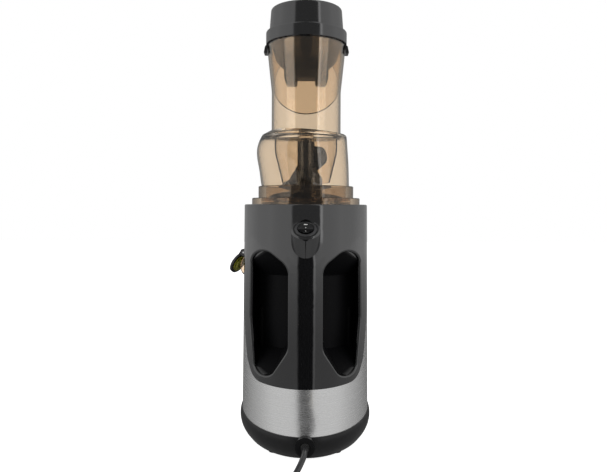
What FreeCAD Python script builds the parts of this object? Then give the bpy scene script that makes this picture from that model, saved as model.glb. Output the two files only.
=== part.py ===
import FreeCAD, Part
import math
import os

# Cold press juicer with a vertical screw, seen here with its rear at +Y.
# Millimetres, +Z up. Each piece is modelled about the screw's axis, and saved with the origin in the
# middle of the juicer's bounding box, at the table. The axis then stands at the place below.

V = FreeCAD.Vector
UP = V(0, 0, 1)
axis_place = V(-10.254, -25.406, 0)

# Footprint of the body, two half ellipses that meet at the screw's axis
body_half_width = 77.0
body_rear = 125.0
body_front = 88.0
body_draft = 1.6
foot_height = 3.5
base_top_z = 27.2
seam_z = 154.3
housing_top_z = 272.0
housing_wall = 2.8
housing_top_round = 1.6

# Base pan and its feet
pan_floor = 3.0
pan_wall = 3.0
pan_swell = 2.4
pan_undercut = 5.0
foot_radius = 6.2
foot_stem_radius = 2.0
foot_places = [(34.0, 92.0), (-34.0, 92.0), (43.0, -52.0), (-43.0, -52.0)]
vent_length = 34.0
vent_width = 3.0
vent_count = 7
vent_pitch = 7.0

# Screws that hold the pan to the posts of the lower housing
post_places = [(50.0, 45.0), (-50.0, 45.0), (50.0, -45.0), (-50.0, -45.0)]
post_radius = 4.5
screw_radius = 1.5
screw_clearance = 0.1
screw_head_radius = 3.2
screw_head_height = 2.4
screw_length = 36.0

# Steel wrap of the lower body and the window left open for the rear panel
wrap_thickness = 0.8
skin_gap = 0.2
wrap_top_z = 148.0
window_bottom_z = 77.2
window_bottom_half = 58.0
window_side_z = 96.0
window_side_half = 66.5
window_top_half = 73.5
window_corner = 14.0

# Handle bar at the rear, with a hand recess on each side and a passage behind it
bar_half_width = 18.5
bar_depth = 28.0
recess_back_y = 70.0
recess_top_z = 235.0
recess_shoulder_z = 205.0
recess_outer_top = 59.0
recess_outer_mid = 60.2
recess_mid_z = 141.0
recess_outer_low = 54.5
recess_low_z = 84.4
recess_knee_x = 37.0
recess_knee_z = 86.6
recess_hip_z = 117.0
recess_roof_z = 190.5
recess_floor_z = 107.5
recess_roof_slope = 0.87
recess_floor_slope = 0.6
recess_lip = 2.2

# Pocket of the upper housing that the bowl stands in, open to the front
pocket_radius = 62.5
pocket_wall = 3.0
pocket_front_y = -15.0

# Rear switch on its tilted boss
switch_z = 246.0
switch_proud = 5.5
switch_tilt = 48.5
switch_boss_radius = 15.6
switch_boss_round = 2.2
switch_recess_radius = 11.9
switch_recess_depth = 1.6
switch_bezel_radius = 11.6
switch_bezel_bore = 8.9
switch_barrel_radius = 9.8
switch_barrel_length = 15.0
rocker_half_width = 8.2
rocker_height = 2.6
rocker_pivot_radius = 1.5
rocker_sway = 1.1

# Juicing bowl
bowl_outer = 58.5
bowl_inner = 56.0
bowl_floor_z = 172.0
bowl_floor = 3.0
bowl_foot_radius = 50.0
bowl_foot_wall = 2.5
bowl_foot_gap = 0.7
rim_radius = 66.9
rim_height = 8.0
rim_lip = 1.2
ledge_inner = 53.8
ledge_height = 4.0
collar_radius = 10.0
collar_bore = 7.2
collar_height = 10.0
idler_pin_radius = 3.0

# Juice spout, at its angle from +X towards the front, and its drop cap
spout_angle = -30.0
spout_z = 191.0
spout_radius = 12.0
spout_bore = 9.5
spout_end = 91.0
hinge_z = 209.0
hinge_pin_radius = 1.2
barrel_radius = 4.8
lug_half = 2.6
lug_radius = 3.6
ear_thickness = 3.6
ear_gap = 0.3
cap_radius = 15.0
cap_thickness = 3.0
cap_dome = 4.0
cap_gap = 1.6
cap_seal_radius = 8.8
cap_seal_depth = 3.0
cap_seal_flange = 11.4
cap_seal_lip = 1.2
cap_open = 30.0

# Pulp spout under the bowl floor
pulp_angle = -120.0
pulp_half_width = 13.0
pulp_wall = 2.2
pulp_low_z = 156.5
pulp_end = 88.0
pulp_hole_radius = 7.0
pulp_hole_place = 23.5

# Motor, on the axis of the screw
motor_low_z = 30.0
motor_top_z = 112.0
stator_radius = 38.0
stator_bore = 24.0
stator_low_z = 52.0
stator_height = 40.0
stator_slots = 12
slot_width = 4.0
slot_depth = 9.0
rotor_gap = 0.5
motor_shaft_radius = 4.0
pinion_shaft_radius = 2.4
bell_radius = 40.0
bell_wall = 2.5
bearing_outer = 9.0
bearing_width = 6.0
winding_inner = 26.0
winding_outer = 34.0
winding_height = 9.0
fan_drop = 6.5
fan_blades = 9

# Two reduction stages that bring the drive back onto the motor's axis
stage_one_module = 1.0
pinion_teeth = 9
wheel_teeth = 54
stage_two_module = 1.05
small_teeth = 10
output_teeth = 50
pinion_low_z = 116.0
stage_one_width = 10.0
stage_two_low_z = 131.0
stage_two_width = 11.0
axle_radius = 2.5
running_gap = 0.05
case_floor = 2.5
case_wall = 2.5
case_clearance = 1.5
case_top_z = 148.0

# Drive shaft with its hexagonal end, and the seal in the deck
drive_radius = 6.0
hex_across_flats = 10.5
hex_low_z = 186.0
hex_top_z = 200.0
seal_outer = 11.0
deck_thickness = 3.3

# Brush drive in the bowl: sun on the screw, idler on a pin, ring on the brush holder
brush_module = 1.5
sun_teeth = 20
idler_teeth = 12
ring_teeth = 44
brush_gear_width = 6.5
brush_gear_gap = 0.5
ring_outer = 38.0

# Strainer, and the brush holder that turns around it
strainer_low_z = 184.5
strainer_top_z = 272.0
strainer_low_radius = 42.0
strainer_top_radius = 48.5
strainer_wall = 1.6
strainer_floor = 2.5
strainer_bore = 18.5
strainer_flange = 55.6
strainer_flange_height = 3.0
strainer_windows = 8
mesh_thickness = 0.4
mesh_gap = 0.3
cage_gap = 1.0
cage_wall = 2.0
cage_top_z = 266.0
cage_windows = 6
blade_count = 3
blade_thickness = 1.6
blade_reach = 55.3

# Screw
screw_gap = 0.5
core_low_radius = 32.0
core_top_radius = 20.5
flight_pitch = 36.0
flight_thickness = 4.0
flight_depth = 25.0
flight_low_z = 190.0
flight_turns = 3.18
second_flight_turns = 2.9
flight_trim = 0.15
shoulder_radius = 35.0
shoulder_z = 296.0
shoulder_top_z = 304.0
neck_radius = 10.6
neck_top_z = 350.0
top_pin_radius = 7.0
top_pin_length = 5.0
wing_reach = 27.8
wing_low_z = 314.0
wing_top_z = 345.0
wing_thickness = 4.0

# Lid with its drum, its bulge to +X and the feed chute
skirt_radius = 59.0
skirt_top_z = 294.5
skirt_gap = 0.3
spigot_depth = 4.0
lid_wall = 2.5
lid_throat = 50.0
drum_sections = [(294.5, 0.6, 54.4), (310.0, 2.0, 55.4), (325.0, 3.6, 56.4), (337.0, 4.6, 56.6),
                 (350.0, 3.7, 54.8), (358.0, 2.1, 52.4)]
drum_corner = 3.0
drum_roof_z = 361.6
drum_roof_lean = 3.6
chute_radius = 43.0
chute_wall = 2.6
chute_flare_z = 412.0
chute_bell_z = 455.0
chute_bell_radius = 47.6
chute_top_radius = 48.3
chute_top_z = 478.0
chute_curve = 60.0
roof_z = 355.0
roof_thickness = 3.0
socket_radius = 10.3
socket_low_z = 351.5
socket_top_z = 362.5
hopper_top_radius = 37.5
hopper_low_radius = 28.4
hopper_low_z = 300.0
hopper_wall = 1.6

# Feed guide, a sleeve in the chute whose lower end is cut on the slant
guide_gap = 0.3
guide_wall = 1.2
guide_low_z = 378.6
guide_high_z = 466.0
guide_top_z = 474.0
tab_reach = 53.0
tab_half_width = 7.0
tab_low_z = 459.5
tab_height = 10.6
tab_clearance = 0.35

# Pusher cap
flange_radius = 50.3
flange_low_z = 470.5
flange_top_z = 486.0
cap_low_radius = 46.1
cap_top_radius = 44.1
cap_top_z = 514.5
cap_round = 2.8
cap_shell = 1.6
plunger_radius = 43.7
plunger_low_z = 442.0
plunger_low_radius = 29.5
key_half_width = 27.0
key_half_depth = 11.0
key_low_z = 428.3
leg_low_z = 420.5
leg_inner = 11.0
leg_round = 4.0

# Mains cord, its strain relief and its plug
cord_diameter = 6.0
cord_floor_gap = 0.05
exit_y = 133.0
exit_z = 18.5
boss_radius = 10.5
boss_end_y = 130.5
relief_inner_radius = 7.0
relief_tip_radius = 4.4
relief_start_y = 106.0
relief_flange = 3.0
coil_centre = (-16.0, 238.0)
coil_outer_radius = 42.0
coil_pitch = 6.6
coil_rise = 6.6
coil_halves_down = 5
coil_halves_up = 4
coil_inner_radius = 26.0
plug_neck = 12.0
plug_length = 26.0
plug_width = 22.0
plug_thickness = 13.0
blade_spacing = 12.7
pin_length = 16.0
pin_width = 6.3
pin_thickness = 1.5

recess_front_y = body_rear / 5
recess_reach_y = body_rear + 20
inset_inside = wrap_thickness + skin_gap
bowl_top_z = housing_top_z + rim_height
lid_seat_z = bowl_top_z
cord_radius = cord_diameter / 2
floor_level = cord_radius + cord_floor_gap


def half_width_at(z):
    rise = (z - base_top_z) / (housing_top_z - base_top_z)
    return body_half_width - body_draft * rise


def egg_wire(z, half_width, rear, front):
    back = Part.Ellipse(V(0, rear, z), V(half_width, 0, z), V(0, 0, z))
    nose = Part.Ellipse(V(0, -front, z), V(-half_width, 0, z), V(0, 0, z))
    quarter = math.pi / 2
    edges = [Part.ArcOfEllipse(curve, -quarter, quarter).toShape() for curve in (back, nose)]
    return Part.Wire(edges)


def body_section(z, inset):
    draft = body_half_width - half_width_at(z)
    return egg_wire(z, half_width_at(z) - inset, body_rear - draft - inset, body_front - draft - inset)


def body_block(low, high, inset):
    return Part.makeLoft([body_section(low, inset), body_section(high, inset)], True, True)


def rounded_wire(corners, place):
    """A closed outline of straight sides whose corners have the radius given with each."""
    count = len(corners)
    ends = []
    for index in range(count):
        here = V(corners[index][0], corners[index][1], 0)
        before = V(corners[index - 1][0], corners[index - 1][1], 0)
        after = V(corners[(index + 1) % count][0], corners[(index + 1) % count][1], 0)
        radius = corners[index][2]
        if radius == 0:
            ends.append((here, here, here))
            continue
        back = (before - here).normalize()
        ahead = (after - here).normalize()
        half = back.getAngle(ahead) / 2
        run = radius / math.tan(half)
        middle = (back + ahead).normalize()
        crown = here + middle * (radius / math.sin(half) - radius)
        ends.append((here + back * run, crown, here + ahead * run))
    edges = []
    for index in range(count):
        start, crown, finish = ends[index]
        following = ends[(index + 1) % count][0]
        if (finish - start).Length > 1e-6:
            edges.append(Part.Arc(place(start), place(crown), place(finish)).toShape())
        if (following - finish).Length > 1e-6:
            edges.append(Part.LineSegment(place(finish), place(following)).toShape())
    return Part.Wire(edges)


def in_xz(y):
    return lambda point: V(point.x, y, point.y)


def in_yz(x):
    return lambda point: V(x, point.x, point.y)


def in_xy(z):
    return lambda point: V(point.x, point.y, z)


def plate(corners, place, direction):
    return Part.Face(rounded_wire(corners, place)).extrude(direction)


def turned(corners):
    """A solid of revolution about the screw's axis, from corners of radius, height and rounding."""
    return Part.Face(rounded_wire(corners, in_xz(0))).revolve(V(0, 0, 0), UP, 360)


def tube(outer, inner, low, high):
    ring = Part.makeCylinder(outer, high - low, V(0, 0, low))
    return ring.cut(Part.makeCylinder(inner, high - low, V(0, 0, low)))


def rod(radius, low, high, x=0.0, y=0.0):
    return Part.makeCylinder(radius, high - low, V(x, y, low))


def joined(shapes):
    return shapes[0].multiFuse(shapes[1:]).removeSplitter()


def spun(shape, angle):
    copy = shape.copy()
    copy.rotate(V(0, 0, 0), UP, angle)
    return copy


def around(shape, count, start=0.0):
    return [spun(shape, start + 360.0 * index / count) for index in range(count)]


def gear_wire(teeth, module, z, phase, centre, addendum, dedendum, thinning):
    """A toothed outline: each flank is an arc through three points of its involute."""
    pressure = math.radians(20)
    pitch_radius = teeth * module / 2
    base_radius = pitch_radius * math.cos(pressure)
    tip = pitch_radius + addendum * module
    root = pitch_radius - dedendum * module
    half_at_pitch = math.pi / (2 * teeth) - thinning / pitch_radius

    def involute(radius):
        if radius <= base_radius:
            return 0.0
        ratio = math.acos(base_radius / radius)
        return math.tan(ratio) - ratio

    def half_angle(radius):
        return half_at_pitch + involute(pitch_radius) - involute(radius)

    def at(radius, angle):
        return V(centre[0] + radius * math.cos(angle), centre[1] + radius * math.sin(angle), z)

    step = 2 * math.pi / teeth
    start = math.radians(phase)
    middle = (root + tip) / 2
    edges = []
    for index in range(teeth):
        angle = start + index * step
        low = at(root, angle - half_angle(root))
        crest = at(tip, angle - half_angle(tip))
        fall = at(tip, angle + half_angle(tip))
        foot = at(root, angle + half_angle(root))
        edges.append(Part.Arc(low, at(middle, angle - half_angle(middle)), crest).toShape())
        edges.append(Part.LineSegment(crest, fall).toShape())
        edges.append(Part.Arc(fall, at(middle, angle + half_angle(middle)), foot).toShape())
        following = at(root, angle + step - half_angle(root))
        edges.append(Part.LineSegment(foot, following).toShape())
    return Part.Wire(edges)


def gear(teeth, module, low, width, phase, centre=(0.0, 0.0), addendum=0.9, dedendum=1.15, thinning=0.06):
    wire = gear_wire(teeth, module, low, phase, centre, addendum, dedendum, thinning)
    return Part.Face(wire).extrude(V(0, 0, width))


def hexagon(across_flats, low, high):
    corner = across_flats / math.sqrt(3)
    points = [V(corner * math.cos(math.radians(60 * n)), corner * math.sin(math.radians(60 * n)), low)
              for n in range(7)]
    return Part.Face(Part.makePolygon(points)).extrude(V(0, 0, high - low))


def recess_outline(side, grow):
    corners = [(side * bar_half_width, recess_shoulder_z, 18.0),
               (side * recess_outer_top, recess_top_z, 15.0),
               (side * recess_outer_mid, recess_mid_z, 80.0),
               (side * recess_outer_low, recess_low_z, 9.0),
               (side * recess_knee_x, recess_knee_z, 14.0),
               (side * bar_half_width, recess_hip_z, 20.0)]
    wire = rounded_wire(corners, in_xz(0))
    if grow:
        wire = wire.makeOffset2D(grow)
    return wire


def recess_prism(side, grow):
    face = Part.Face(recess_outline(side, grow))
    face.translate(V(0, recess_front_y, 0))
    return face.extrude(V(0, recess_reach_y - recess_front_y, 0))


def passage_box(grow):
    low = recess_hip_z - grow
    high = recess_shoulder_z + grow
    depth = body_rear - bar_depth - recess_front_y + grow
    return Part.makeBox(2 * bar_half_width, depth, high - low, V(-bar_half_width, recess_front_y, low))


def hand_space(grow):
    """What the recesses may take: outside the round back wall, between the sloping roof and floor."""
    back = recess_back_y - grow
    reach = recess_reach_y + recess_front_y
    run = reach - recess_back_y
    roof = recess_roof_z + grow
    floor = recess_floor_z - grow
    return turned([(back, floor, 0), (reach, floor - recess_floor_slope * run, 0),
                   (reach, roof + recess_roof_slope * run, 0), (back, roof, 0)])


def hand_cavity(grow):
    """The space around the handle bar: two recesses, joined by the passage behind the bar."""
    sides = [recess_prism(side, grow) for side in (1, -1)]
    return joined(sides + [passage_box(grow)]).common(hand_space(grow))


def window_prism(gap):
    """The outline of the rear panel, standing in the steel wrap's window."""
    top = seam_z + 10
    spread = (window_top_half - window_side_half) / (wrap_top_z - window_side_z)
    top_half = window_top_half + spread * (top - wrap_top_z)
    low = window_bottom_z - gap
    corners = [(-window_bottom_half - gap, low, window_corner),
               (window_bottom_half + gap, low, window_corner),
               (window_side_half + gap, window_side_z, 12.0),
               (top_half + gap, top, 0),
               (-top_half - gap, top, 0),
               (-window_side_half - gap, window_side_z, 12.0)]
    return plate(corners, in_xz(20.0), V(0, body_rear, 0))


def on_rear_surface(point):
    draft = body_half_width - half_width_at(point.z)
    across = point.x / half_width_at(point.z)
    along = point.y / (body_rear - draft)
    return point.y > recess_back_y / 2 and abs(across * across + along * along - 1) < 0.002


def is_recess_rim(edge):
    points = edge.discretize(5)
    between = all(base_top_z + 1 < point.z < housing_top_z - 1 for point in points)
    return between and all(on_rear_surface(point) for point in points)


def whole_housing():
    """The closed housing with its hand recesses, whose rims are rounded before their depth is filled."""
    prisms = Part.makeCompound([recess_prism(side, 0) for side in (1, -1)])
    carved = body_block(base_top_z, housing_top_z, 0).cut(prisms)
    rims = [edge for edge in carved.Edges if is_recess_rim(edge)]
    carved = carved.makeFillet(recess_lip, rims)
    inside = body_block(base_top_z, housing_top_z, recess_lip + 0.8)
    fill = prisms.common(inside).cut(hand_space(0))
    return carved.fuse(fill.Solids).cut(passage_box(0).common(hand_space(0)))


def slab_between(low, high):
    wide = 4 * body_rear
    return Part.makeBox(wide, wide, high - low, V(-wide / 2, -wide / 2, low))


def make_lower_housing(block):
    shell = block.common(slab_between(base_top_z, seam_z))
    skin = body_block(base_top_z - 1, wrap_top_z + 0.3, -1).cut(
        body_block(base_top_z - 2, wrap_top_z + 1, inset_inside))
    shell = shell.cut(skin.cut(window_prism(0)))
    hollow = body_block(base_top_z - 1, seam_z - deck_thickness, inset_inside + housing_wall)
    shell = shell.cut(hollow.cut(hand_cavity(housing_wall)))
    shell = shell.cut(rod(seal_outer, base_top_z, seam_z + 1))
    posts = []
    for x, y in post_places:
        post = rod(post_radius, base_top_z, seam_z - deck_thickness + 0.5, x, y)
        posts.append(post.cut(rod(screw_radius + screw_clearance, base_top_z - 1, base_top_z + screw_length, x, y)))
    return joined([shell] + posts)


def make_steel_wrap():
    outer = body_block(base_top_z, wrap_top_z, 0)
    wrap = outer.cut(body_block(base_top_z - 1, wrap_top_z + 1, wrap_thickness))
    wrap = wrap.cut(window_prism(0.25))
    return wrap.cut(Part.makeCylinder(boss_radius + 0.3, 30, V(0, body_rear - 15, exit_z), V(0, 1, 0)))


def tilted(shape):
    """Brings a piece built on +Z to the switch's place, facing up and to the rear."""
    copy = shape.copy()
    copy.rotate(V(0, 0, 0), V(1, 0, 0), -(90 - switch_tilt))
    copy.translate(V(0, body_rear + switch_proud, switch_z))
    return copy


def make_upper_housing(block):
    shell = block.common(slab_between(seam_z, housing_top_z))
    top = [edge for edge in shell.Edges
           if min(p.z for p in edge.discretize(3)) > housing_top_z - 0.01]
    shell = shell.makeFillet(housing_top_round, top)
    hollow = body_block(seam_z - 1, housing_top_z - housing_wall, housing_wall)
    hollow = hollow.cut(rod(pocket_radius + pocket_wall, seam_z - 2, housing_top_z))
    front = Part.makeBox(400, 200, 400, V(-200, pocket_front_y + housing_wall - 200, 0))
    hollow = hollow.cut(front).cut(hand_cavity(housing_wall))
    boss = rod(switch_boss_radius, -28, 0)
    rim = [edge for edge in boss.Edges if abs(edge.CenterOfMass.z) < 0.01]
    boss = tilted(boss.makeFillet(switch_boss_round, rim))
    boss = boss.cut(body_block(seam_z, housing_top_z, housing_wall + 1))
    shell = shell.cut(hollow).fuse(boss)
    shell = shell.cut(tilted(rod(switch_recess_radius, -switch_recess_depth, switch_boss_radius)))
    shell = shell.cut(tilted(rod(switch_barrel_radius + 0.2, -40, 2)).cut(hand_cavity(housing_wall)))
    shell = shell.cut(rod(pocket_radius, seam_z - 1, housing_top_z + 1))
    return shell.cut(Part.makeBox(400, 200, 400, V(-200, pocket_front_y - 200, 0)))


def make_switch_bezel():
    ring = turned([(switch_bezel_bore, -switch_recess_depth + 0.1, 0),
                   (switch_bezel_radius, -switch_recess_depth + 0.1, 0),
                   (switch_bezel_radius, 0.4, 0.5),
                   (switch_bezel_bore + 0.6, 0.9, 0.4),
                   (switch_bezel_bore, 0.9, 0)])
    low = -switch_barrel_length
    body = tube(switch_barrel_radius, switch_bezel_bore, low, -switch_recess_depth + 0.1)
    base = rod(switch_barrel_radius, low - 2, low)
    pivot = Part.makeCylinder(rocker_pivot_radius, 2 * switch_bezel_bore + 1,
                              V(-switch_bezel_bore - 0.5, 0, -4), V(1, 0, 0))
    return tilted(joined([ring, body, base, pivot]))


def make_switch_rocker():
    profile = [(-7.4, -6.0, 1.0), (7.4, -6.0, 1.0), (7.6, rocker_height, 1.0), (0, 0.6, 8.0),
               (-7.6, rocker_height, 1.0)]
    body = plate(profile, in_yz(-rocker_half_width), V(2 * rocker_half_width, 0, 0))
    for side in (1, -1):
        body = body.common(rod(switch_bezel_bore - 0.35, -10, 10, 0, side * rocker_sway))
    bore = Part.makeCylinder(rocker_pivot_radius + running_gap, 30, V(-15, 0, -4), V(1, 0, 0))
    return tilted(body.cut(bore))


def make_base_pan():
    rise = base_top_z - foot_height
    levels = [(foot_height, -pan_undercut), (foot_height + 0.15 * rise, -0.4 * pan_undercut),
              (foot_height + 0.36 * rise, 0.4 * pan_swell), (foot_height + 0.62 * rise, pan_swell),
              (foot_height + 0.86 * rise, 0.85 * pan_swell), (base_top_z, 0.3 * pan_swell)]
    outer = Part.makeLoft([body_section_at(z, grow) for z, grow in levels], True, False)
    inner = egg_prism(foot_height + pan_floor, base_top_z + 1, pan_wall + 0.4 * pan_undercut)
    pan = outer.cut(inner)
    hood = Part.makeCone(boss_radius + 1.0, boss_radius, boss_end_y - 112, V(0, 112, exit_z), V(0, 1, 0))
    above = slab_between(base_top_z, base_top_z + 20).common(body_block(base_top_z - 1, base_top_z + 30, -0.3))
    hood = hood.cut(above).cut(egg_prism(0, base_top_z + 1, pan_wall + 12))
    hood = hood.common(slab_between(foot_height + 1, base_top_z + 20))
    pieces = [pan, hood]
    for x, y in post_places:
        pieces.append(rod(post_radius, foot_height + 1, base_top_z, x, y))
    pan = joined(pieces)
    for x, y in post_places:
        pan = pan.cut(rod(screw_radius + 4 * screw_clearance, 0, base_top_z + 1, x, y))
        pan = pan.cut(rod(screw_head_radius + 0.2, 0, foot_height + screw_head_height + 0.3, x, y))
    for x, y in foot_places:
        pan = pan.cut(rod(foot_stem_radius + screw_clearance, 0, base_top_z, x, y))
    first = -(vent_count - 1) * vent_pitch / 2
    for index in range(vent_count):
        y = first + index * vent_pitch
        slot = plate([(-vent_length / 2, y, 1.4), (vent_length / 2, y, 1.4),
                      (vent_length / 2, y + vent_width, 1.4), (-vent_length / 2, y + vent_width, 1.4)],
                     in_xy(0), V(0, 0, foot_height + pan_floor + 1))
        pan = pan.cut(slot)
    bore = Part.makeCylinder(relief_radius_at(exit_y) + 0.15, 40, V(0, 100, exit_z), V(0, 1, 0))
    throat = Part.makeCone(relief_inner_radius + 0.1, relief_radius_at(exit_y) + 0.15,
                           exit_y - relief_start_y - relief_flange,
                           V(0, relief_start_y + relief_flange, exit_z), V(0, 1, 0))
    return pan.cut(bore).cut(throat)


def body_section_at(z, grow):
    return egg_wire(z, body_half_width + grow, body_rear + grow, body_front + grow)


def egg_prism(low, high, inset):
    wire = egg_wire(low, body_half_width - inset, body_rear - inset, body_front - inset)
    return Part.Face(wire).extrude(V(0, 0, high - low))


def relief_radius_at(y):
    share = (y - relief_start_y - relief_flange) / (exit_y - relief_start_y - relief_flange)
    return relief_inner_radius - 1.2 + (relief_tip_radius - relief_inner_radius + 1.2) * share


def make_strain_relief():
    start = V(0, relief_start_y, exit_z)
    flange = Part.makeCylinder(relief_inner_radius + 2, relief_flange, start, V(0, 1, 0))
    cone = Part.makeCone(relief_radius_at(relief_start_y + relief_flange), relief_radius_at(exit_y),
                         exit_y - relief_start_y - relief_flange, start + V(0, relief_flange, 0), V(0, 1, 0))
    bore = Part.makeCylinder(cord_radius + 0.05, exit_y - relief_start_y + 2, start - V(0, 1, 0), V(0, 1, 0))
    tail = Part.makeCylinder(cord_radius + 0.05, exit_y - relief_start_y, start, V(0, 1, 0))
    return flange.fuse(cone).cut(bore).fuse(tail).removeSplitter()


def make_feet():
    feet = []
    for x, y in foot_places:
        pad = turned([(0, 0, 0), (foot_radius - 0.4, 0, 0.6), (foot_radius, foot_height, 0), (0, foot_height, 0)])
        pad = pad.fuse(rod(foot_stem_radius, foot_height - 0.5, foot_height + pan_floor))
        pad.translate(V(x, y, 0))
        feet.append(pad.removeSplitter())
    return feet


def make_base_screws():
    screws = []
    for x, y in post_places:
        head_top = foot_height + screw_head_height
        head = rod(screw_head_radius, foot_height + 0.3, head_top, x, y)
        shank = rod(screw_radius, head_top - 0.5, base_top_z + screw_length * 0.4, x, y)
        screws.append(head.fuse(shank).removeSplitter())
    return screws


def make_bowl():
    wall = turned([(bowl_inner, bowl_floor_z, 0), (bowl_outer, bowl_floor_z, 0), (bowl_outer, housing_top_z, 0),
                   (rim_radius, housing_top_z, 0), (rim_radius, bowl_top_z, rim_lip), (bowl_inner, bowl_top_z, 0)])
    ledge = tube(bowl_inner + 0.5, ledge_inner, strainer_top_z - ledge_height, strainer_top_z - 0.2)
    floor = rod(bowl_outer, bowl_floor_z, bowl_floor_z + bowl_floor)
    foot = tube(bowl_foot_radius, bowl_foot_radius - bowl_foot_wall, seam_z + bowl_foot_gap, bowl_floor_z)
    collar = rod(collar_radius, bowl_floor_z, bowl_floor_z + bowl_floor + collar_height)
    boss = rod(idler_pin_radius, bowl_floor_z, bowl_floor_z + bowl_floor + brush_gear_width,
               0, (sun_teeth + idler_teeth) * brush_module / 2)
    spout = Part.makeCylinder(spout_radius, spout_end - 50, V(50, 0, spout_z), V(1, 0, 0))
    duct = Part.makeBox(pulp_end - 14, 2 * pulp_half_width, bowl_floor_z - pulp_low_z, V(14, -pulp_half_width, pulp_low_z))
    knuckle = Part.makeCylinder(lug_radius, 2 * lug_half, V(spout_end, -lug_half, hinge_z), V(0, 1, 0))
    leg = plate([(spout_end - 3 * lug_radius, spout_z + spout_bore, 0), (spout_end, spout_z + spout_bore, 0),
                 (spout_end, hinge_z, 0), (spout_end - lug_radius, hinge_z, 0)],
                in_xz(-lug_half), V(0, 2 * lug_half, 0))
    outside = joined([spout, knuckle, leg]).cut(rod(bowl_inner + 1, 100, 260))
    shell = joined([wall, ledge, floor, foot, collar, boss, spun(outside, spout_angle), spun(duct, pulp_angle)])
    shell = shell.cut(rod(collar_bore, seam_z, bowl_floor_z + bowl_floor + collar_height + 1))
    bore = Part.makeCylinder(spout_bore, 60, V(50, 0, spout_z), V(1, 0, 0))
    pin_bore = Part.makeCylinder(hinge_pin_radius, 60, V(spout_end, -30, hinge_z), V(0, 1, 0))
    shell = shell.cut(spun(bore, spout_angle)).cut(spun(pin_bore, spout_angle))
    hollow = Part.makeBox(pulp_end, 2 * (pulp_half_width - pulp_wall), bowl_floor_z - pulp_low_z - 2 * pulp_wall,
                          V(16, -pulp_half_width + pulp_wall, pulp_low_z + pulp_wall))
    drop = rod(pulp_hole_radius, pulp_low_z + pulp_wall + 1, bowl_floor_z + bowl_floor + 1, pulp_hole_place, 0)
    return shell.cut(spun(hollow, pulp_angle)).cut(spun(drop, pulp_angle))


def make_pulp_gasket():
    inner_half = pulp_half_width - pulp_wall
    outer = Part.makeBox(3.0, 2 * inner_half - 0.6, bowl_floor_z - pulp_low_z - 2 * pulp_wall - 0.6,
                         V(pulp_end - 8, -inner_half + 0.3, pulp_low_z + pulp_wall + 0.3))
    hole = Part.makeBox(8.0, 2 * inner_half - 6, bowl_floor_z - pulp_low_z - 2 * pulp_wall - 5,
                        V(pulp_end - 10, -inner_half + 3, pulp_low_z + pulp_wall + 2.5))
    return spun(outer.cut(hole), pulp_angle)


def opened(shape):
    """Swings a piece of the cap from closed to its place in the photograph, then to the spout."""
    copy = shape.copy()
    copy.rotate(V(spout_end, 0, hinge_z), V(0, -1, 0), cap_open)
    return spun(copy, spout_angle)


def make_juice_cap():
    face_x = spout_end + cap_gap
    disc = Part.makeCylinder(cap_radius, cap_thickness, V(face_x, 0, spout_z), V(1, 0, 0))
    rise = cap_dome
    sphere_radius = (cap_radius * cap_radius + rise * rise) / (2 * rise)
    dome = Part.makeSphere(sphere_radius, V(face_x + cap_thickness + rise - sphere_radius, 0, spout_z))
    dome = dome.common(Part.makeCylinder(cap_radius, 30, V(face_x + cap_thickness - 0.2, 0, spout_z), V(1, 0, 0)))
    half = lug_half + ear_gap + ear_thickness
    barrel = Part.makeCylinder(barrel_radius, 2 * half, V(spout_end, -half, hinge_z), V(0, 1, 0))
    arm = plate([(face_x, spout_z, 0), (face_x + cap_thickness + cap_dome / 2, spout_z, 0),
                 (spout_end + barrel_radius, hinge_z, 0), (face_x, hinge_z, 0)],
                in_xz(-half), V(0, 2 * half, 0))
    cap = joined([disc, dome, barrel, arm])
    slot = 2 * (lug_half + ear_gap)
    notch = Part.makeCylinder(barrel_radius + ear_gap, slot, V(spout_end, -slot / 2, hinge_z), V(0, 1, 0))
    behind = Part.makeBox(20, slot, 20, V(spout_end - 20 + cap_gap, -slot / 2, hinge_z - lug_radius))
    above = Part.makeBox(40, slot, 20, V(spout_end - 20, -slot / 2, hinge_z))
    bore = Part.makeCylinder(hinge_pin_radius + running_gap, 60, V(spout_end, -30, hinge_z), V(0, 1, 0))
    return opened(cap.cut(notch).cut(behind).cut(above).cut(bore))


def make_cap_seal():
    face_x = spout_end + cap_gap
    plug = Part.makeCone(cap_seal_radius - 0.8, cap_seal_radius, cap_seal_depth,
                         V(face_x - cap_seal_depth, 0, spout_z), V(1, 0, 0))
    well = Part.makeCylinder(cap_seal_radius - 3, cap_seal_depth - 1, V(face_x - cap_seal_depth, 0, spout_z), V(1, 0, 0))
    flange = Part.makeCylinder(cap_seal_flange, cap_seal_lip, V(face_x - cap_seal_lip, 0, spout_z), V(1, 0, 0))
    return opened(plug.fuse(flange).cut(well).removeSplitter())


def make_cap_pin():
    length = 2 * (lug_half + ear_gap + ear_thickness)
    pin = Part.makeCylinder(hinge_pin_radius, length, V(spout_end, -length / 2, hinge_z), V(0, 1, 0))
    return spun(pin, spout_angle)


def cone_shell(low, high, low_radius, high_radius, thickness):
    outer = Part.makeCone(low_radius, high_radius, high - low, V(0, 0, low))
    inner = Part.makeCone(low_radius - thickness, high_radius - thickness, high - low, V(0, 0, low))
    return outer.cut(inner)


def strainer_radius_at(z):
    share = (z - strainer_low_z) / (strainer_top_z - strainer_low_z)
    return strainer_low_radius + (strainer_top_radius - strainer_low_radius) * share


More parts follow.
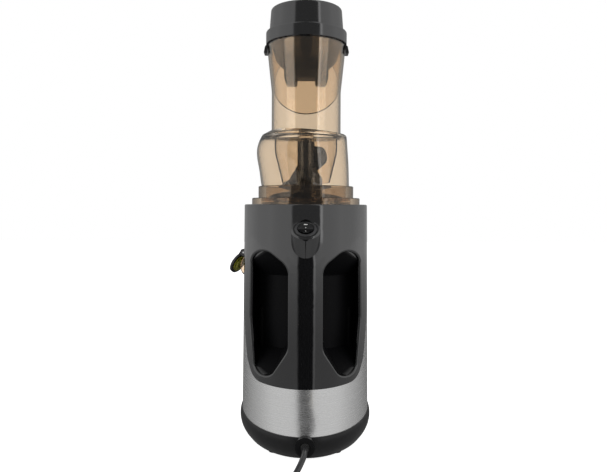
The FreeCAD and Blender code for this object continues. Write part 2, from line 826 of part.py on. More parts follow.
def make_strainer_frame():
    wall = cone_shell(strainer_low_z, strainer_top_z, strainer_low_radius, strainer_top_radius, strainer_wall)
    floor = tube(strainer_low_radius - 0.5, strainer_bore, strainer_low_z, strainer_low_z + strainer_floor)
    flange = tube(strainer_flange, strainer_top_radius - strainer_wall, strainer_top_z,
                  strainer_top_z + strainer_flange_height)
    frame = joined([wall, floor, flange])
    window = Part.makeBox(60, 22, 30, V(30, -11, 0))
    for low in (196.0, 232.0):
        window_row = window.copy()
        window_row.translate(V(0, 0, low))
        frame = frame.cut(Part.makeCompound(around(window_row, strainer_windows, 10.0)))
    gate = Part.makeBox(18, 20, 10, V(21, -10, strainer_low_z - 1))
    return frame.cut(spun(gate, pulp_angle))


def make_strainer_mesh():
    inner = strainer_wall + mesh_gap
    low = strainer_low_z + strainer_floor
    high = strainer_top_z - 4
    return cone_shell(low, high, strainer_radius_at(low) - inner, strainer_radius_at(high) - inner, mesh_thickness)


def brush_blade(grow):
    low = strainer_low_z + 8
    high = cage_top_z - 4
    half = blade_thickness / 2 + grow
    corners = [(strainer_radius_at(low) + 0.3, low, 0), (blade_reach, low, 2.0),
               (blade_reach - 2.2, high, 2.0), (strainer_radius_at(high) + 0.3, high, 0)]
    return plate(corners, in_xz(-half), V(0, 2 * half, 0))


def make_brush_holder():
    low = bowl_floor_z + bowl_floor + brush_gear_gap
    gear_top = low + brush_gear_width
    ring = rod(ring_outer, low, gear_top)
    teeth = gear(ring_teeth, brush_module, low - 1, brush_gear_width + 2, 90 + 180.0 / ring_teeth,
                 addendum=1.15, dedendum=0.8, thinning=-0.08)
    cage_low = strainer_radius_at(gear_top) + cage_gap + cage_wall
    cage_high = strainer_radius_at(cage_top_z) + cage_gap + cage_wall
    plate_ring = tube(cage_low - 0.5, ring_outer - 2.5, gear_top - 0.8, gear_top + 1.0)
    wall = cone_shell(gear_top - 0.8, cage_top_z, cage_low, cage_high, cage_wall)
    holder = joined([ring.cut(teeth), plate_ring, wall])
    window = Part.makeBox(60, 24, 62, V(30, -12, 194))
    holder = holder.cut(Part.makeCompound(around(window, cage_windows, 30.0)))
    return holder.cut(Part.makeCompound(around(brush_blade(0.1), blade_count)))


def make_brush_blades():
    return around(brush_blade(0), blade_count)


def make_idler():
    centre = (0.0, (sun_teeth + idler_teeth) * brush_module / 2)
    low = bowl_floor_z + bowl_floor + brush_gear_gap
    blank = gear(idler_teeth, brush_module, low, brush_gear_width - 0.5, -90 + 180.0 / idler_teeth, centre)
    return blank.cut(rod(idler_pin_radius + running_gap, low - 1, low + 20, centre[0], centre[1]))


def screw_radius_at(z):
    return strainer_radius_at(z) - strainer_wall - mesh_gap - mesh_thickness - screw_gap


def flight_envelope():
    low = strainer_low_z + strainer_floor + 1
    return turned([(0, low, 0), (screw_radius_at(low), low, 0),
                   (screw_radius_at(strainer_top_z), strainer_top_z, 0),
                   (screw_radius_at(strainer_top_z), strainer_top_z + 9, 0),
                   (shoulder_radius, shoulder_z, 0), (core_top_radius, shoulder_top_z, 0), (0, shoulder_top_z, 0)])


def make_flight(turns):
    """One helical flight: it widens with the strainer and stops under the shoulder."""
    outer = screw_radius_at(flight_low_z) - flight_trim
    lean = math.atan((strainer_top_radius - strainer_low_radius) / (strainer_top_z - strainer_low_z))
    helix = Part.makeHelix(flight_pitch, turns * flight_pitch, outer, math.degrees(lean))
    half = flight_thickness / 2
    root = outer - flight_depth
    section = Part.makePolygon([V(root, 0, -half), V(outer, 0, -half * 0.8), V(outer, 0, half * 0.8),
                                V(root, 0, half), V(root, 0, -half)])
    flight = Part.Wire(helix.Edges).makePipeShell([section], True, True)
    flight.translate(V(0, 0, flight_low_z))
    return flight.common(flight_envelope())


def make_auger():
    sun_low = bowl_floor_z + bowl_floor + brush_gear_gap
    sun_top = sun_low + brush_gear_width
    core = turned([(0, sun_low, 0), (12.0, sun_low, 0), (12.0, sun_top, 0), (16.5, sun_top, 0),
                   (17.0, strainer_low_z + 4, 4.0),
                   (core_low_radius, flight_low_z + 4, 5.0), (core_top_radius, 286.0, 30.0),
                   (core_top_radius, shoulder_top_z, 6.0), (15.0, 313.0, 5.0), (neck_radius, 321.0, 4.0),
                   (neck_radius, neck_top_z, 0), (top_pin_radius, neck_top_z, 0),
                   (top_pin_radius, neck_top_z + top_pin_length, 1.5), (0, neck_top_z + top_pin_length, 0)])
    sun = gear(sun_teeth, brush_module, sun_low, brush_gear_width, 90)
    flights = [make_flight(flight_turns), spun(make_flight(second_flight_turns), 180)]
    wing = plate([(0, wing_low_z - 6, 0), (-14.0, wing_low_z, 3.0), (-wing_reach, wing_low_z + 13, 9.0),
                  (-wing_reach + 5, wing_top_z - 2, 8.0), (-neck_radius + 2, wing_top_z, 2.0), (0, wing_top_z, 0)],
                 in_xz(-wing_thickness / 2), V(0, wing_thickness, 0))
    body = joined([core, sun] + flights + [wing])
    counterbore = rod(collar_radius + 0.8, sun_low - 1, hex_low_z + 1)
    socket = hexagon(hex_across_flats + 0.2, hex_low_z - 1, hex_top_z + 1)
    return body.cut(counterbore).cut(socket)


def circle_wire(x, radius, z):
    return Part.Wire(Part.makeCircle(radius, V(x, 0, z)))


def chute_radius_at(z):
    if z <= chute_flare_z:
        return chute_radius
    if z <= chute_bell_z:
        share = (z - chute_flare_z) / (chute_bell_z - chute_flare_z)
        return chute_radius + (chute_bell_radius - chute_radius) * share
    share = (z - chute_bell_z) / (chute_top_z - chute_bell_z)
    return chute_bell_radius + (chute_top_radius - chute_bell_radius) * share


def drum_loft(inset, top):
    sections = [circle_wire(x, radius - inset, z) for z, x, radius in drum_sections[:-1]]
    last_z, last_x, last_radius = drum_sections[-1]
    sections.append(circle_wire(last_x, last_radius - inset, last_z - top))
    return Part.makeLoft(sections, True, False)


def make_drum():
    """The drum's bulged side, closed by a roof that leans up towards +X, with a rounded corner."""
    low_z, low_x, low_radius = drum_sections[-1]
    lean = math.radians(drum_roof_lean)
    crown = Part.Wire(Part.makeCircle(chute_radius, V(0, 0, drum_roof_z), V(-math.sin(lean), 0, math.cos(lean))))
    roof = Part.makeLoft([circle_wire(low_x, low_radius, low_z), crown], True, True)
    drum = drum_loft(0, 0).fuse(roof)
    corner = [edge for edge in drum.Edges if is_drum_corner(edge)]
    return drum.makeFillet(drum_corner, corner)


def is_drum_corner(edge):
    low_z, low_x, low_radius = drum_sections[-1]
    level = all(abs(point.z - low_z) < 0.01 for point in edge.discretize(4))
    return level and all((point - V(low_x, 0, low_z)).Length > low_radius - 0.1 for point in edge.discretize(4))


def make_lid():
    hollow = drum_loft(lid_wall, drum_corner)
    chute = turned([(0, roof_z, 0), (chute_radius, roof_z, 0), (chute_radius, chute_flare_z, chute_curve),
                    (chute_bell_radius, chute_bell_z, chute_curve), (chute_top_radius, chute_top_z, 1.2),
                    (0, chute_top_z, 0)])
    bore = turned([(0, roof_z - 8, 0), (chute_radius - chute_wall, roof_z - 8, 0),
                   (chute_radius - chute_wall, chute_flare_z, chute_curve),
                   (chute_bell_radius - chute_wall, chute_bell_z, chute_curve),
                   (chute_top_radius - chute_wall, chute_top_z + 1, 0), (0, chute_top_z + 1, 0)])
    skirt = turned([(lid_throat, lid_seat_z, 0), (skirt_radius, lid_seat_z, 0), (skirt_radius, skirt_top_z, 1.0),
                    (lid_throat, skirt_top_z, 0)])
    spigot = tube(bowl_inner - skirt_gap, lid_throat, lid_seat_z - spigot_depth, lid_seat_z + 1)
    shell = joined([make_drum(), skirt, spigot, chute]).cut(hollow).cut(bore)
    shell = shell.cut(rod(lid_throat, lid_seat_z - 10, skirt_top_z + 0.5))
    roof = rod(chute_radius - chute_wall + 0.5, roof_z, roof_z + roof_thickness)
    roof = roof.common(Part.makeBox(200, 100, 100, V(-100, -94, roof_z - 20)))
    hopper = turned([(hopper_low_radius, hopper_low_z, 0), (hopper_low_radius + hopper_wall, hopper_low_z, 0),
                     (hopper_top_radius + hopper_wall, 338.0, 40.0), (hopper_top_radius + hopper_wall, roof_z + 1, 0),
                     (hopper_top_radius, roof_z + 1, 0), (hopper_top_radius, 338.0, 40.0)])
    hopper = hopper.common(Part.makeBox(200, 100, 200, V(-100, -100, 250)))
    socket = turned([(0, socket_low_z, 0), (socket_radius, socket_low_z, 0), (socket_radius, socket_top_z, 2.5),
                     (0, socket_top_z, 0)])
    whole = joined([shell, roof, hopper, socket])
    return whole.cut(rod(top_pin_radius + 0.3, socket_low_z - 1, neck_top_z + top_pin_length + 0.5))


def make_feed_guide():
    def outside(z):
        return chute_radius_at(z) - chute_wall - guide_gap

    levels = [guide_low_z, chute_flare_z, chute_bell_z, guide_top_z]
    corners = [(outside(z), z, 0) for z in levels]
    corners += [(outside(z) - guide_wall, z, 0) for z in reversed(levels)]
    wall = turned(corners)
    slope = (guide_high_z - guide_low_z) / (2 * outside(guide_low_z))
    reach = 60.0
    middle = (guide_low_z + guide_high_z) / 2
    below = plate([(-reach, middle + slope * reach, 0), (-reach, guide_low_z - 90, 0), (reach, guide_low_z - 90, 0),
                   (reach, middle - slope * reach, 0)], in_yz(-reach), V(2 * reach, 0, 0))
    return wall.cut(below)


def make_side_tabs():
    tabs = []
    for side in (1, -1):
        wall = chute_radius_at(tab_low_z) + 0.2
        tab = plate([(side * (wall - 1.2), tab_low_z, 0), (side * tab_reach, tab_low_z, 1.2),
                     (side * (tab_reach - 1.6), tab_low_z + 0.8 * tab_height, 0.8),
                     (side * (wall + 1.2), tab_low_z + tab_height, 0.8), (side * (wall - 1.2), tab_low_z + tab_height, 0)],
                    in_xz(-tab_half_width), V(0, 2 * tab_half_width, 0))
        tabs.append(tab)
    rim = rod(chute_top_radius + tab_clearance, tab_low_z - 2, tab_low_z + tab_height + 2)
    return [tab.cut(rim) for tab in tabs]


def make_pusher():
    body = turned([(0, plunger_low_z, 0), (plunger_low_radius, plunger_low_z, 2.0),
                   (plunger_radius - 6.0, plunger_low_z + 7.6, 10.0), (plunger_radius - 2.7, plunger_low_z + 19, 12.0),
                   (plunger_radius, flange_low_z + 2, 0), (plunger_radius, chute_top_z + 0.4, 0), (flange_radius - cap_shell, chute_top_z + 0.4, 0),
                   (flange_radius - cap_shell, flange_low_z, 0), (flange_radius, flange_low_z, 0.8),
                   (flange_radius, flange_top_z, 2.0), (cap_low_radius, flange_top_z + 1.0, 0),
                   (cap_top_radius, cap_top_z, cap_round), (0, cap_top_z, 0)])
    key = Part.makeBox(2 * key_half_width, 2 * key_half_depth, plunger_low_z - key_low_z + 1,
                       V(-key_half_width, -key_half_depth, key_low_z))
    legs = []
    for side in (1, -1):
        legs.append(plate([(side * leg_inner, leg_low_z, leg_round), (side * (key_half_width - 1.5), leg_low_z, leg_round),
                           (side * key_half_width, plunger_low_z + 1, 0), (side * leg_inner, plunger_low_z + 1, 0)],
                          in_xz(-key_half_depth), V(0, 2 * key_half_depth, 0)))
    block = joined([key] + legs)
    return joined([body, block])


def make_stator():
    stack = tube(stator_radius, stator_bore, stator_low_z, stator_low_z + stator_height)
    slot = Part.makeBox(slot_depth, slot_width, stator_height, V(stator_bore + 2, -slot_width / 2, stator_low_z))
    mouth = Part.makeBox(4, slot_width / 2, stator_height, V(stator_bore - 1, -slot_width / 4, stator_low_z))
    slots = around(slot.fuse(mouth), stator_slots)
    return stack.cut(Part.makeCompound(slots))


def make_windings():
    low = stator_low_z - winding_height
    high = stator_low_z + stator_height
    rings = []
    for start in (low, high):
        rings.append(turned([(winding_inner, start, 3.0), (winding_outer, start, 3.0),
                             (winding_outer, start + winding_height, 3.0),
                             (winding_inner, start + winding_height, 3.0)]))
    return rings


def make_rotor():
    stack = rod(stator_bore - rotor_gap, stator_low_z, stator_low_z + stator_height)
    shaft = rod(motor_shaft_radius, motor_low_z + 1, pinion_low_z - 1)
    stub = rod(pinion_shaft_radius, pinion_low_z - 2, pinion_low_z + stage_one_width + 2)
    return joined([stack, shaft, stub])


def make_fan():
    low = stator_low_z - winding_height - fan_drop
    hub = tube(10.0, motor_shaft_radius, low, low + 5)
    disc = tube(22.0, 9.0, low, low + 1.2)
    blade = Part.makeBox(13.0, 1.2, 5.0, V(9.0, -0.6, low))
    return joined([hub, disc] + around(blade, fan_blades))


def make_bearings():
    gap = running_gap
    return [tube(bearing_outer, motor_shaft_radius + gap, z, z + bearing_width)
            for z in (motor_low_z, motor_top_z - bearing_width)]


def make_bell(low):
    """One end of the motor's frame: a bearing seat on four arms, with a rim round the stator."""
    if low:
        z = motor_low_z
        rim_low = z
        rim_high = stator_low_z
    else:
        z = motor_top_z - bell_wall
        rim_low = stator_low_z + stator_height
        rim_high = motor_top_z
    rim = tube(bell_radius, bell_radius - bell_wall, rim_low, rim_high)
    hub_low = motor_low_z if low else motor_top_z - bearing_width
    hub = tube(bearing_outer + 2.5, bearing_outer, hub_low, hub_low + bearing_width)
    arm = Part.makeBox(bell_radius - bearing_outer - 2, 7, bell_wall, V(bearing_outer + 1, -3.5, z))
    return joined([rim, hub] + around(arm, 4, 45.0))


def stadium(radius, low, high):
    spread = (pinion_teeth + wheel_teeth) * stage_one_module / 2
    middle = Part.makeBox(2 * radius, spread, high - low, V(-radius, -spread, low))
    return joined([rod(radius, low, high), rod(radius, low, high, 0, -spread), middle])


def make_gear_case():
    inner = wheel_teeth * stage_one_module / 2 + stage_one_module + case_clearance
    low = motor_top_z
    case = stadium(inner + case_wall, low, case_top_z).cut(stadium(inner, low + case_floor, case_top_z))
    return case.cut(rod(bearing_outer, low - 1, low + case_floor + 1))


def make_case_cover():
    inner = wheel_teeth * stage_one_module / 2 + stage_one_module + case_clearance
    cover = stadium(inner + case_wall, case_top_z, seam_z - deck_thickness)
    return cover.cut(rod(drive_radius + running_gap, case_top_z - 1, seam_z))


def gear_centre():
    return (0.0, -(pinion_teeth + wheel_teeth) * stage_one_module / 2)


def make_axle():
    x, y = gear_centre()
    return rod(axle_radius, motor_top_z + case_floor, case_top_z, x, y)


def make_motor_pinion():
    blank = gear(pinion_teeth, stage_one_module, pinion_low_z, stage_one_width, -90)
    return blank.cut(rod(pinion_shaft_radius, 0, 200))


def make_compound_gear():
    centre = gear_centre()
    wheel = gear(wheel_teeth, stage_one_module, pinion_low_z + 0.5, stage_one_width - 1, 90 + 180.0 / wheel_teeth, centre)
    small = gear(small_teeth, stage_two_module, pinion_low_z + 1, stage_two_low_z + stage_two_width - pinion_low_z,
                 90, centre)
    return joined([wheel, small]).cut(rod(axle_radius + running_gap, 0, 200, centre[0], centre[1]))


def make_output_gear():
    blank = gear(output_teeth, stage_two_module, stage_two_low_z, stage_two_width, -90 + 180.0 / output_teeth)
    lighten = [rod(4.5, 0, 200, 17.0, 0)]
    holes = around(lighten[0], 6, 30.0)
    return blank.cut(Part.makeCompound(holes)).cut(rod(drive_radius, 0, 200))


def make_drive_shaft():
    shaft = rod(drive_radius, stage_two_low_z, hex_low_z + 0.5)
    return joined([shaft, hexagon(hex_across_flats, hex_low_z, hex_top_z)])


def make_shaft_seal():
    low = seam_z - deck_thickness
    return tube(seal_outer, drive_radius + 0.08, low, seam_z)


def biarc(start, start_way, end, end_way):
    """Two tangent arcs from one point and direction to another."""
    across = end - start
    both = start_way + end_way
    reach = 2 * (1 - start_way.dot(end_way))
    along = across.dot(both)
    length = (math.sqrt(along * along + reach * across.dot(across)) - along) / reach
    joint = (start + end + (start_way - end_way) * length) * 0.5
    return [Part.Arc(start, arc_middle(start, start_way, joint), joint).toShape(),
            Part.Arc(joint, arc_middle(end, end_way * -1, joint), end).toShape()]


def arc_middle(start, way, end):
    """The point halfway along the arc that leaves a start in a direction and reaches an end."""
    chord = end - start
    angle = way.getAngle(chord)
    if angle < 1e-9:
        return (start + end) * 0.5
    side = (way - chord * (way.dot(chord) / chord.dot(chord))).normalize()
    return (start + end) * 0.5 + side * (chord.Length / 2 * math.tan(angle / 2))


def coil_turns():
    """Half turns of the coil: spiral in, climb where it turns back, and spiral out on top."""
    step = coil_pitch / 2
    down = [coil_outer_radius - step * index for index in range(coil_halves_down)]
    up = [coil_outer_radius - step * (coil_halves_down - 1 - index) for index in range(coil_halves_up)]
    return down + [coil_inner_radius] + up


def coil_edges():
    place = V(coil_centre[0] + coil_outer_radius, coil_centre[1], floor_level)
    way = V(0, 1, 0)
    edges = []
    for index, radius in enumerate(coil_turns()):
        side = -1 if index % 2 == 0 else 1
        rise = coil_rise if index == coil_halves_down else 0.0
        end = place + V(side * 2 * radius, 0, rise)
        edges += biarc(place, way, end, way * -1)
        place = end
        way = way * -1
    return edges, place


def round_section(centre, way, radius):
    return Part.Wire(Part.makeCircle(radius, centre, way))


def tube_on(edges, start, way):
    wire = Part.Wire(edges)
    body = wire.makePipeShell([round_section(start, way, cord_radius)], True, False)
    return body, wire.Length


def rounded_route(points, name):
    """Straight runs joined by the largest tangent arcs that the runs leave room for."""
    edges = []
    radii = []
    here = points[0]
    for index in range(1, len(points) - 1):
        back = points[index - 1] - points[index]
        ahead = points[index + 1] - points[index]
        reach = 0.45 * min(back.Length, ahead.Length)
        half = math.radians(180) / 2 - back.getAngle(ahead) / 2
        radii.append(reach / math.tan(half))
        first = points[index] + back.normalize() * reach
        last = points[index] + ahead.normalize() * reach
        edges.append(Part.LineSegment(here, first).toShape())
        edges.append(Part.Arc(first, arc_middle(first, (points[index] - first).normalize(), last), last).toShape())
        here = last
    edges.append(Part.LineSegment(here, points[-1]).toShape())
    print(name, "arc radii", [round(radius, 1) for radius in radii])
    return edges


def lead_points():
    start = V(coil_centre[0] + coil_outer_radius, coil_centre[1], floor_level)
    return [V(0.0, exit_y, exit_z), V(0.0, 145.0, exit_z), V(3.0, 158.0, 15.0), V(8.5, 171.0, 9.5),
            V(15.0, 184.0, 4.6), V(21.0, 198.0, floor_level), V(25.0, 212.0, floor_level),
            V(start.x, 226.0, floor_level), start]


def tail_points(start):
    drop = start.z - plug_thickness / 2
    return [start, start + V(0, 14, 0), start + V(-1.5, 29, -0.4), start + V(-6.5, 44, -1.6),
            start + V(-16.0, 57, -2.7), start + V(-29.0, 65, -drop), start + V(-43.0, 69, -drop)]


def make_plug(entry, way):
    """A moulded plug with two flat pins, lying on the table."""
    half = plug_thickness / 2
    neck = Part.makeCone(cord_radius + 0.6, cord_radius + 2.6, plug_neck, V(0, 0, 0), V(1, 0, 0))
    face = plate([(plug_neck - 2, -plug_width / 2 + 4, 3.0), (plug_neck + 8, -plug_width / 2, 4.0),
                  (plug_neck + plug_length, -plug_width / 2, 2.0), (plug_neck + plug_length, plug_width / 2, 2.0),
                  (plug_neck + 8, plug_width / 2, 4.0), (plug_neck - 2, plug_width / 2 - 4, 3.0)],
                 in_xy(-half), V(0, 0, plug_thickness))
    body = joined([neck, face])
    pins = []
    for side in (1, -1):
        pins.append(Part.makeBox(pin_length, pin_thickness, pin_width,
                                 V(plug_neck + plug_length, side * blade_spacing / 2 - pin_thickness / 2, -pin_width / 2)))
    angle = math.degrees(math.atan2(way.y, way.x))
    placed = []
    for shape in [body] + pins:
        shape.rotate(V(0, 0, 0), UP, angle)
        shape.translate(V(entry.x, entry.y, half))
        placed.append(shape)
    return placed[0], placed[1:]


def least_self_gap(edges):
    """The least clear gap between turns, from points along the middle of the cord."""
    points = []
    travelled = []
    total = 0.0
    for edge in edges:
        samples = edge.discretize(40)
        if points and (samples[0] - points[-1]).Length > 0.01:
            samples.reverse()
        for point in samples:
            if points:
                total += (point - points[-1]).Length
            points.append(point)
            travelled.append(total)
    least = 1e9
    for index, point in enumerate(points):
        for other in range(index + 1, len(points)):
            if travelled[other] - travelled[index] > 4 * cord_diameter:
                least = min(least, (points[other] - point).Length)
    return least - cord_diameter


def save(name, shapes):
    group = shapes if isinstance(shapes, list) else [shapes]
    solids = []
    for shape in group:
        solids += shape.Solids
    shape = solids[0] if len(solids) == 1 else Part.makeCompound(solids)
    volume = sum(solid.Volume for solid in solids)
    print(f"{name:18s} solids {len(solids)} valid {shape.isValid()} volume {volume:.0f}")
    shape.translate(axis_place)
    shape.exportStep(f"parts/{name}.step")


def main():
    os.makedirs("parts", exist_ok=True)
    block = whole_housing()
    save("base_pan", make_base_pan())
    save("rubber_feet", make_feet())
    save("base_screws", make_base_screws())
    save("lower_housing", make_lower_housing(block))
    save("steel_wrap", make_steel_wrap())
    save("upper_housing", make_upper_housing(block))
    save("switch_bezel", make_switch_bezel())
    save("switch_rocker", make_switch_rocker())
    save("motor_stator", make_stator())
    save("motor_windings", make_windings())
    save("motor_rotor", make_rotor())
    save("cooling_fan", make_fan())
    save("motor_bearings", make_bearings())
    save("motor_lower_bell", make_bell(True))
    save("motor_upper_bell", make_bell(False))
    save("motor_pinion", make_motor_pinion())
    save("gear_case", make_gear_case())
    save("gear_case_cover", make_case_cover())
    save("gear_axle", make_axle())
    save("compound_gear", make_compound_gear())
    save("output_gear", make_output_gear())
    save("drive_shaft", make_drive_shaft())
    save("shaft_seal", make_shaft_seal())
    save("juicing_bowl", make_bowl())
    save("pulp_gasket", make_pulp_gasket())
    save("cap_hinge_pin", make_cap_pin())
    save("juice_cap", make_juice_cap())
    save("cap_seal", make_cap_seal())
    save("strainer_frame", make_strainer_frame())
    save("strainer_mesh", make_strainer_mesh())
    save("brush_holder", make_brush_holder())
    save("brush_blades", make_brush_blades())
    save("brush_idler", make_idler())
    save("auger", make_auger())
    save("lid", make_lid())
    save("feed_guide", make_feed_guide())
    save("side_tabs", make_side_tabs())
    save("pusher", make_pusher())
    save("strain_relief", make_strain_relief())
    lead = lead_points()
    lead_body, lead_length = tube_on(rounded_route(lead, "lead"), lead[0], lead[1] - lead[0])
    save("cord_lead", lead_body)
    turns, coil_end = coil_edges()
    coil_body, coil_length = tube_on(turns, lead[-1], V(0, 1, 0))
    save("cord_coil", coil_body)
    tail = tail_points(coil_end)
    tail_body, tail_length = tube_on(rounded_route(tail, "tail"), tail[0], tail[1] - tail[0])
    save("cord_tail", tail_body)
    plug_body, plug_pins = make_plug(tail[-1], tail[-1] - tail[-2])
    save("plug", plug_body)
    save("plug_pins", plug_pins)
    section = math.pi * cord_radius ** 2
    for body, length in ((lead_body, lead_length), (coil_body, coil_length), (tail_body, tail_length)):
        print("cord length", round(length, 1), "volume ratio", round(body.Volume / (section * length), 4))
    print("coil least gap to itself", round(least_self_gap(turns), 2))
    print("cord length in all", round(lead_length + coil_length + tail_length, 1))


main()
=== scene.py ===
import math

import bpy
from mathutils import Matrix, Vector


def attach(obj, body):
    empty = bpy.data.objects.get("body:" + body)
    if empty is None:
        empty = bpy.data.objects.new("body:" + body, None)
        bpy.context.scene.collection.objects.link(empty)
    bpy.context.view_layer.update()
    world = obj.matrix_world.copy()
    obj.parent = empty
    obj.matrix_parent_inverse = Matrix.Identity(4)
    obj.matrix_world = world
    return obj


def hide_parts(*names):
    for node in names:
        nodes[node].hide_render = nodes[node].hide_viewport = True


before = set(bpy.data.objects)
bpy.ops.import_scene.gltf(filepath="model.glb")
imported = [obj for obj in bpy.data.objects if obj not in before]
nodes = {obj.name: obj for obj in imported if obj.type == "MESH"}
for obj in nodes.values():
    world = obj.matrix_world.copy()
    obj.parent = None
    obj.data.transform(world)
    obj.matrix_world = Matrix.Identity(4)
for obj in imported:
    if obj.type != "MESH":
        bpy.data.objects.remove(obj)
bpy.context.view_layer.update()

# The screw's axis in the part's frame
AXIS_X = -0.010254
AXIS_Y = -0.025406

# Camera of the photograph: level, behind the juicer, lens shifted down
CAMERA_DISTANCE = 0.775
CAMERA_HEIGHT = 0.269
CAMERA_ROLL = math.radians(-0.22)
FOCAL_PIXELS = 620.0
IMAGE_WIDTH = 607
IMAGE_HEIGHT = 472
AXIS_COLUMN = 305.8
HORIZON_ROW = 207.0
SENSOR = 36.0

# Half width and rear reach of the body's footprint, which is half an ellipse at the rear
BODY_HALF_WIDTH = 0.077
BODY_REAR = 0.125

# Shares of that footprint between which the housing goes from dull to glossy, and from a slightly
# darker painted shade to its own colour
RECESS_DULL = 0.93
RECESS_GLOSSY = 0.97

# Top of the lid's skirt, whose plastic is darker, and the height over which the colour changes
SKIRT_TOP = 0.2945
SKIRT_EDGE = 0.0005

# Part of a noise texture's range that its colours and values are spread over
NOISE_LOW = 0.3
NOISE_HIGH = 0.7

# Noise scales of a plastic's slight changes of colour and of gloss
COLOR_SCALE = 9.0
GLOSS_SCALE = 40.0

# Amber plastic: noise scales of its colour, gloss and waviness, then its roughness and index
AMBER_COLOR_SCALE = 6.0
AMBER_GLOSS_SCALE = 30.0
AMBER_WAVE_SCALE = 25.0
AMBER_WAVE_DEPTH = 0.00004
AMBER_ROUGHNESS = (0.01, 0.04)
AMBER_IOR = 1.45

# Marks on the rocker, sought from MARK_SEARCH above it, and the switch's place and lean
MARK_RADIUS = 0.0005
MARK_RISE = 0.00012
MARK_SINK = 0.0001
MARK_SEARCH = 0.01
MARK_BAR_STRETCH = 0.0016
SWITCH_PLACE = (AXIS_X, AXIS_Y + 0.1305, 0.246)
SWITCH_LEAN = math.radians(41.5)

# Cord and its route about the screw's axis, whose coil climbs a layer on the half turn CLIMB
CORD_DIAMETER = 0.006
LEAD = [(0.0, 0.133, 0.0185), (0.0, 0.145, 0.0185), (0.003, 0.158, 0.015),
        (0.0085, 0.171, 0.0095), (0.015, 0.184, 0.0046), (0.021, 0.198, 0.00305),
        (0.025, 0.212, 0.00305), (0.026, 0.226, 0.00305)]
COIL_CENTRE = (-0.016, 0.238)
COIL_FLOOR = 0.00305
COIL_RISE = 0.0066
COIL_RADII = [0.042, 0.0387, 0.0354, 0.0321, 0.0288, 0.026, 0.0288, 0.0321, 0.0354, 0.0387]
CLIMB = 5
POINTS_PER_HALF = 8
TAIL = [(0, 0.014, 0), (-0.0015, 0.029, -0.0004), (-0.0065, 0.044, -0.0016),
        (-0.016, 0.057, -0.0027), (-0.029, 0.065, -0.00315), (-0.043, 0.069, -0.00315)]

# Studio: the room's light on the object, the floor, and the softboxes by place, aim, size and power
ROOM_LIGHT = 0.45
FLOOR_GLOW = 0.9
FLOOR_COLOR = (0.9, 0.9, 0.9, 1.0)
FLOOR_SIZE = 8.0
SOFTBOXES = {
    "left_box": ((1.35, 0.95, 0.55), (0, 0, 0.25), 0.9, 1.5, 9.0),
    "right_box": ((-1.35, 0.95, 0.55), (0, 0, 0.25), 0.9, 1.5, 9.0),
    "top_box": ((0.0, -0.2, 1.7), (0, 0, 0.2), 1.2, 1.2, 6.0),
}

# Light that glossy parts mirror, by angle from the camera's side in degrees, +X positive
ROOM = ((-180, 0.2), (-150, 0.3), (-120, 0.62), (-90, 1.1), (-47, 1.15), (-44, 2.4), (-40, 2.4),
        (-37, 0.26), (34, 0.26), (39, 1.15), (90, 1.1), (120, 0.62), (150, 0.3), (180, 0.2))
TABLE = ((-180, 0.2), (-150, 0.3), (-120, 0.7), (-90, 1.1), (-28, 1.15), (-25, 2.0), (-23, 2.0),
         (-20, 0.04), (18, 0.03), (24, 1.15), (90, 1.1), (120, 0.7), (150, 0.3), (180, 0.2))

# The mirrored table has its full level far from the body's rear and a share of it close by
TABLE_NEAR = 0.5
TABLE_FAR = 3.2
TABLE_NEAR_SHARE = 0.43


def add_camera():
    data = bpy.data.cameras.new("camera")
    data.sensor_width = SENSOR
    data.lens = FOCAL_PIXELS * SENSOR / IMAGE_WIDTH
    data.shift_x = (IMAGE_WIDTH / 2 - AXIS_COLUMN) / IMAGE_WIDTH
    data.shift_y = (HORIZON_ROW - IMAGE_HEIGHT / 2) / IMAGE_WIDTH
    camera = bpy.data.objects.new("camera", data)
    camera.location = (AXIS_X, AXIS_Y + CAMERA_DISTANCE, CAMERA_HEIGHT)
    camera.rotation_euler = (math.pi / 2, CAMERA_ROLL, math.pi)
    bpy.context.scene.collection.objects.link(camera)
    bpy.context.scene.camera = camera


add_camera()


# Materials
def new_material(name):
    material = bpy.data.materials.new(name)
    material.use_nodes = True
    tree = material.node_tree
    tree.nodes.clear()
    output = tree.nodes.new("ShaderNodeOutputMaterial")
    shader = tree.nodes.new("ShaderNodeBsdfPrincipled")
    tree.links.new(shader.outputs["BSDF"], output.inputs["Surface"])
    return material, tree, shader


def place(tree):
    """The shaded point in its object's coordinates, for a CAD node those of the part."""
    return tree.nodes.new("ShaderNodeTexCoord").outputs["Object"]


def scaled_place(tree, scale, shift=(0.0, 0.0, 0.0)):
    mapping = tree.nodes.new("ShaderNodeMapping")
    mapping.inputs["Scale"].default_value = scale
    mapping.inputs["Location"].default_value = shift
    tree.links.new(place(tree), mapping.inputs["Vector"])
    return mapping.outputs["Vector"]


def length(tree, vector):
    node = tree.nodes.new("ShaderNodeVectorMath")
    node.operation = "LENGTH"
    tree.links.new(vector, node.inputs[0])
    return node.outputs["Value"]


def noise(tree, scale, detail=3.0, stretch=(1.0, 1.0, 1.0)):
    texture = tree.nodes.new("ShaderNodeTexNoise")
    texture.inputs["Scale"].default_value = scale
    texture.inputs["Detail"].default_value = detail
    tree.links.new(scaled_place(tree, stretch), texture.inputs["Vector"])
    return texture.outputs["Fac"]


def ranged(tree, source, low, high, at_low, at_high):
    """Turns a value from low to high into one from at_low to at_high."""
    node = tree.nodes.new("ShaderNodeMapRange")
    node.inputs["From Min"].default_value = low
    node.inputs["From Max"].default_value = high
    node.inputs["To Min"].default_value = at_low
    node.inputs["To Max"].default_value = at_high
    tree.links.new(source, node.inputs["Value"])
    return node.outputs["Result"]


def spread(tree, texture, low, high):
    """Turns a noise texture into a value between low and high."""
    return ranged(tree, texture, NOISE_LOW, NOISE_HIGH, low, high)


